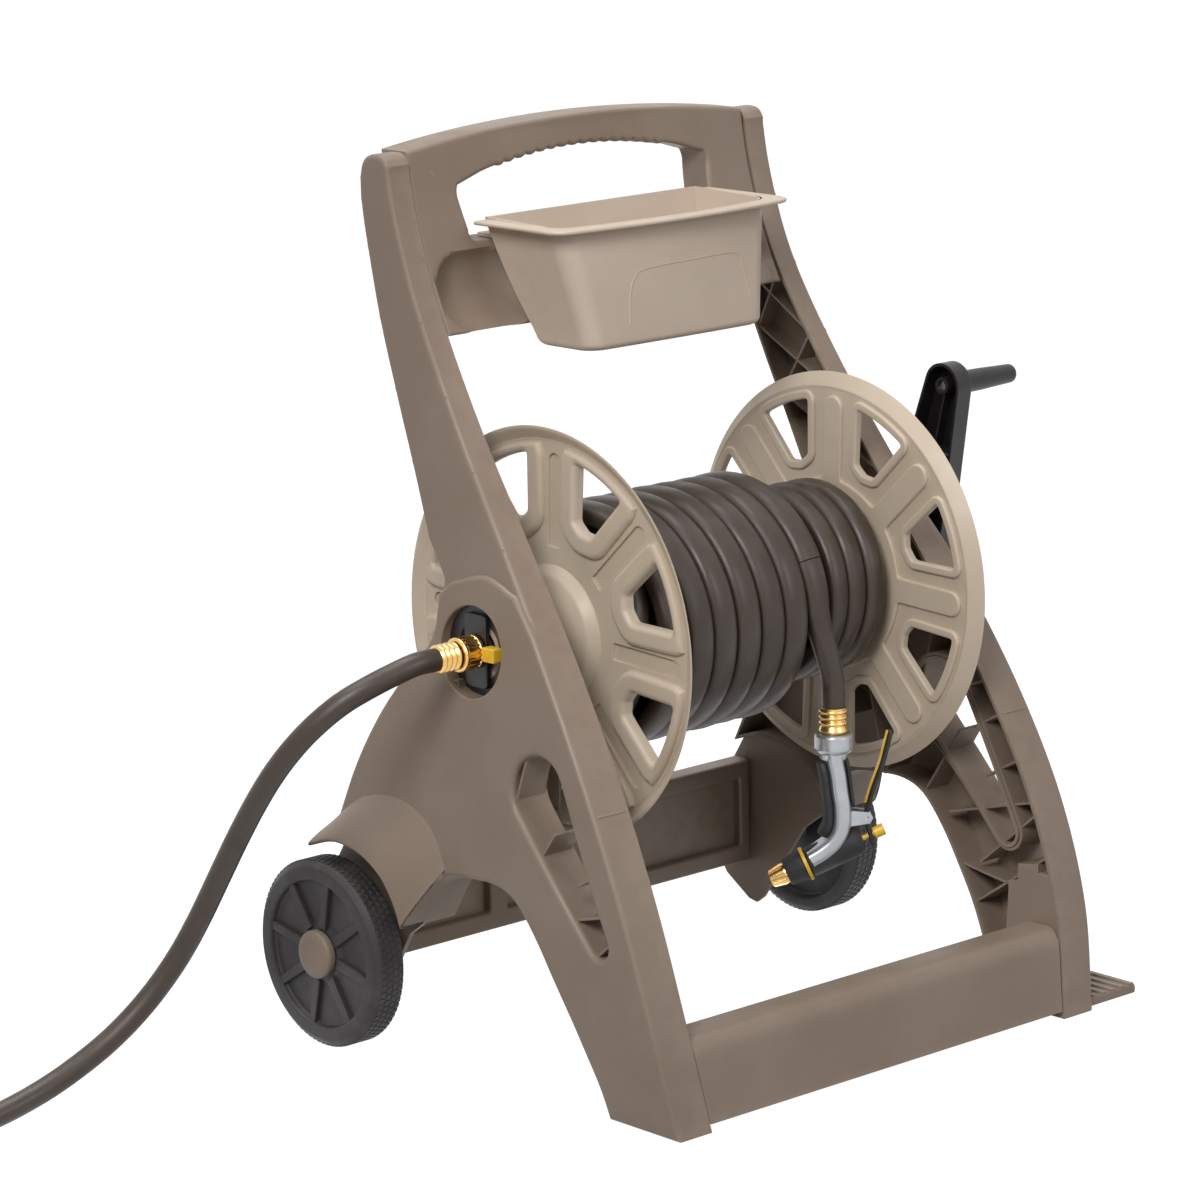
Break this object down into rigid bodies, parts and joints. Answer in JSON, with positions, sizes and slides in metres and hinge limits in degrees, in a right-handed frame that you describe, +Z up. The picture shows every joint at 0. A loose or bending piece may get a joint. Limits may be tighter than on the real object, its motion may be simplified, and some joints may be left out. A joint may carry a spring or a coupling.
{
  "type": "hose reel cart",
  "caption": "Wheeled garden hose reel: moulded side frames carry a crank-wound reel of hose, with a tool bin, leader hose and hanging spray nozzle.",
  "frame": {"origin": "on the ground, under the middle of the cart's bounding box without its leader hose and hanging nozzle", "axes": "+X along the reel's axis towards the crank, +Y from the front bar towards the wheels, +Z up"},
  "size_m": [1.4512, 0.5372, 0.858],
  "materials": {
    "frame": "fine moulded texture, warm taupe brown",
    "tan": "satin moulded, light tan",
    "black": "satin moulded, charcoal black",
    "tyre": "matt blow-moulded wheel, charcoal",
    "hose": "smooth reinforced vinyl hose, dark brown",
    "brass": "turned and crimped brass",
    "steel": "zinc-plated fasteners and pins",
    "silver": "satin silver cast body",
    "yellow": "satin golden yellow plastic",
    "rubber": "black sealing rubber"
  },
  "bodies": {
    "frame": {"left_side_frame": "frame", "right_side_frame": "frame", "handle_panel": "frame", "front_cross_bar": "frame", "rear_cross_beam": "frame", "panel_screw_left_lower": "steel", "panel_screw_left_upper": "steel", "panel_screw_right_lower": "steel", "panel_screw_right_upper": "steel", "front_bar_screw_left": "steel", "front_bar_screw_right": "steel", "rear_beam_screw_left": "steel", "rear_beam_screw_right": "steel", "left_axle_pin": "steel", "right_axle_pin": "steel", "left_bushing": "black", "right_bushing": "black", "inlet_body": "black", "inlet_clip": "yellow", "inlet_seal_outer": "rubber", "inlet_seal_inner": "rubber", "leader_coupling": "brass", "leader_washer": "rubber", "leader_ferrule": "brass", "leader_hose": "hose", "leader_coil": "hose", "tap_ferrule": "brass", "hose_tail": "hose", "tail_ferrule": "brass", "nozzle_collar": "silver", "nozzle_body": "silver", "nozzle_front_pad": "black", "nozzle_rear_pad": "black", "lever_pin": "steel", "spray_ring": "yellow"},
    "reel": {"left_flange": "tan", "right_flange": "tan", "drum_upper_half": "tan", "drum_lower_half": "tan", "hose_core": "hose", "hose_winding": "hose", "outlet_elbow": "black", "drum_hose_nut": "brass", "crank_arm": "black", "crank_screw": "steel", "crank_pin": "steel"},
    "crank_grip": {"crank_grip": "black"},
    "left_wheel": {"left_wheel": "tyre", "left_hub_cap": "frame"},
    "right_wheel": {"right_wheel": "tyre", "right_hub_cap": "frame"},
    "lever": {"nozzle_lever": "black", "lever_trim": "yellow"},
    "valve": {"valve_stem": "yellow"},
    "spray_head": {"spray_bezel": "black", "spray_tip": "brass"},
    "bin": {"storage_bin": "tan"},
    "tap_nut": {"tap_coupling": "brass"}
  },
  "joints": [
    {"name": "reel_spin", "type": "hinge", "parent": "frame", "child": "reel", "pos_m": [-0.0335, -0.00055, 0.404], "axis": [1, 0, 0], "continuous": true, "deforming": ["hose_tail"]},
    {"name": "crank_grip_spin", "type": "hinge", "parent": "reel", "child": "crank_grip", "pos_m": [0.3, -0.04755, 0.578], "axis": [1, 0, 0], "continuous": true},
    {"name": "left_wheel_spin", "type": "hinge", "parent": "frame", "child": "left_wheel", "pos_m": [-0.335, 0.17795, 0.0906], "axis": [1, 0, 0], "continuous": true},
    {"name": "right_wheel_spin", "type": "hinge", "parent": "frame", "child": "right_wheel", "pos_m": [0.268, 0.17795, 0.0906], "axis": [1, 0, 0], "continuous": true},
    {"name": "bin_lift", "type": "slide", "parent": "frame", "child": "bin", "axis": [0, 0, 1], "range_m": [0, 0.05]},
    {"name": "lever_squeeze", "type": "hinge", "parent": "frame", "child": "lever", "pos_m": [0.07544, -0.12602, 0.198], "axis": [-0.6157, -0.788, 0], "range_deg": [0, 15], "stiffness_Nm_per_rad": 0.3},
    {"name": "valve_slide", "type": "slide", "parent": "frame", "child": "valve", "axis": [0.7261, -0.5673, 0.3884], "range_m": [0, 0.005]},
    {"name": "spray_twist", "type": "hinge", "parent": "frame", "child": "spray_head", "pos_m": [0.07544, -0.12602, 0.1778], "axis": [-0.7261, 0.5673, -0.3884], "range_deg": [0, 180]},
    {"name": "tap_swivel", "type": "hinge", "parent": "frame", "child": "tap_nut", "pos_m": [-0.84968, 0.08665, 0.0164], "axis": [-0.0083, 1, 0], "continuous": true}
  ],
  "couplings": [
    {"joint": "valve_slide", "follows": "lever_squeeze", "m_per_rad": 0.019}
  ]
}
